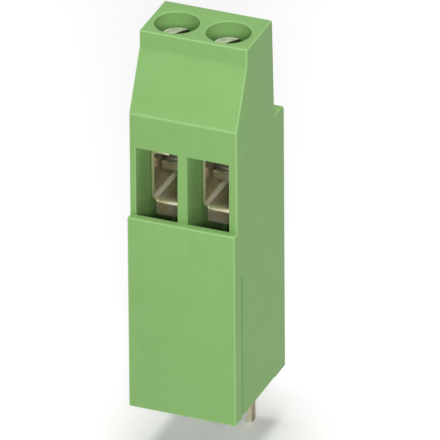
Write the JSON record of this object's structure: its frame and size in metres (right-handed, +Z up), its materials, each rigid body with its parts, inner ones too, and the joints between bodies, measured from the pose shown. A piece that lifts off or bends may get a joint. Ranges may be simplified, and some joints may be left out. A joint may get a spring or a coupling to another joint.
{
  "type": "pcb screw terminal",
  "caption": "Tall screw terminal for a printed circuit board: green moulded housing with wire windows, rising cage clamps worked by slotted screws, and solder pins below.",
  "frame": {"origin": "on the board, under the housing's rear foot, midway between the two solder pins", "axes": "+Z up from the board, +Y from the wire windows to the back, +X along the row of poles"},
  "size_m": [0.0106, 0.0124, 0.0435],
  "materials": {
    "housing": "satin moulded polyamide",
    "screws": "zinc plated",
    "cages": "nickel plated",
    "contacts": "tin plated"
  },
  "bodies": {
    "root": {"housing": "housing", "contact_1": "contacts", "contact_2": "contacts"},
    "screw_1": {"screw_1": "screws"},
    "screw_2": {"screw_2": "screws"},
    "cage_1": {"cage_1": "cages"},
    "cage_2": {"cage_2": "cages"}
  },
  "joints": [
    {"name": "screw_1_turn", "type": "hinge", "parent": "root", "child": "screw_1", "pos_m": [-0.00254, -0.00488, 0.03], "axis": [0, 0, -1], "range_deg": [0, 1920.1]},
    {"name": "screw_2_turn", "type": "hinge", "parent": "root", "child": "screw_2", "pos_m": [0.00254, -0.00488, 0.03], "axis": [0, 0, -1], "range_deg": [-240.1, 1680.1]},
    {"name": "cage_1_lift", "type": "slide", "parent": "root", "child": "cage_1", "axis": [0, 0, 1], "range_m": [0, 0.0024]},
    {"name": "cage_2_lift", "type": "slide", "parent": "root", "child": "cage_2", "axis": [0, 0, 1], "range_m": [-0.0003, 0.0021]}
  ],
  "couplings": [
    {"joint": "screw_1_turn", "follows": "cage_1_lift", "rad_per_m": 13963},
    {"joint": "screw_2_turn", "follows": "cage_2_lift", "rad_per_m": 13963}
  ]
}
